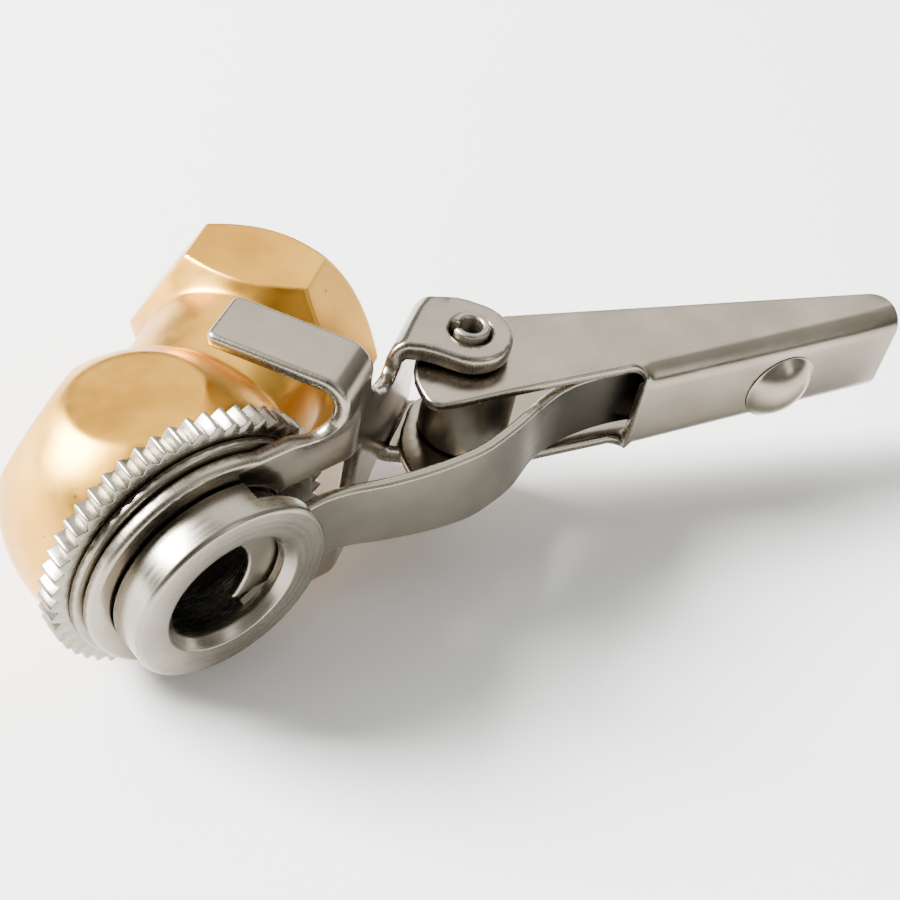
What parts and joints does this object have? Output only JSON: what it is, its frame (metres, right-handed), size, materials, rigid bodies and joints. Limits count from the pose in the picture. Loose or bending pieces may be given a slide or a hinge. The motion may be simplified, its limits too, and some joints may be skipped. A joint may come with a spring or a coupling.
{
  "type": "clip-on tyre air chuck",
  "caption": "Brass ball-foot air chuck with an angled hexagonal hose inlet, a steel nose and a spring-leaf clip worked by a folded thumb lever.",
  "frame": {"origin": "centre of the hose inlet's mouth, on the inlet's axis", "axes": "+X the way the nose points, along the tyre valve; +Z along the lever's pivot pin, on the finger tab's side; +Y from the nose towards the lever's tail side"},
  "size_m": [0.0375, 0.0748, 0.0244],
  "materials": {
    "machined_brass": "satin, machined and tumbled",
    "satin_nickel_steel": "satin nickel plate on pressed steel",
    "spring_steel": "satin plated spring steel",
    "valve_brass": "turned",
    "nitrile_rubber": "matt"
  },
  "bodies": {
    "body": {"brass_body": "machined_brass", "nose_sleeve": "satin_nickel_steel", "knurled_ring": "satin_nickel_steel", "backing_ring": "satin_nickel_steel", "clip_bracket": "satin_nickel_steel", "pivot_pin": "spring_steel", "spacer_sleeve": "spring_steel", "stem_seal": "nitrile_rubber", "seal_washer": "valve_brass", "valve_seat": "valve_brass", "poppet_spring": "spring_steel", "body_o_ring": "nitrile_rubber"},
    "lever": {"lever": "satin_nickel_steel", "leaf_root": "spring_steel", "leaf_rivet": "satin_nickel_steel", "rivet_washer": "satin_nickel_steel"},
    "jaw": {"jaw_leaf": "spring_steel"},
    "valve": {"poppet": "valve_brass", "poppet_seal": "nitrile_rubber", "depressor_pin": "spring_steel"}
  },
  "joints": [
    {"name": "lever_pivot", "type": "hinge", "parent": "body", "child": "lever", "pos_m": [0.01465, 0.0078, 0], "axis": [0, 0, 1], "range_deg": [0, 14], "stiffness_Nm_per_rad": 0.3, "springref_deg": -11.46},
    {"name": "leaf_flex", "type": "hinge", "parent": "lever", "child": "jaw", "pos_m": [0.0222, 0.0078, 0], "axis": [0, 0, 1], "range_deg": [-14, 0]},
    {"name": "valve_slide", "type": "slide", "parent": "body", "child": "valve", "axis": [-1, 0, 0], "range_m": [0, 0.0013], "stiffness_N_per_m": 900, "springref_m": -0.001, "deforming": ["poppet_spring"]}
  ],
  "couplings": [
    {"joint": "leaf_flex", "follows": "lever_pivot", "ratio": -1}
  ]
}
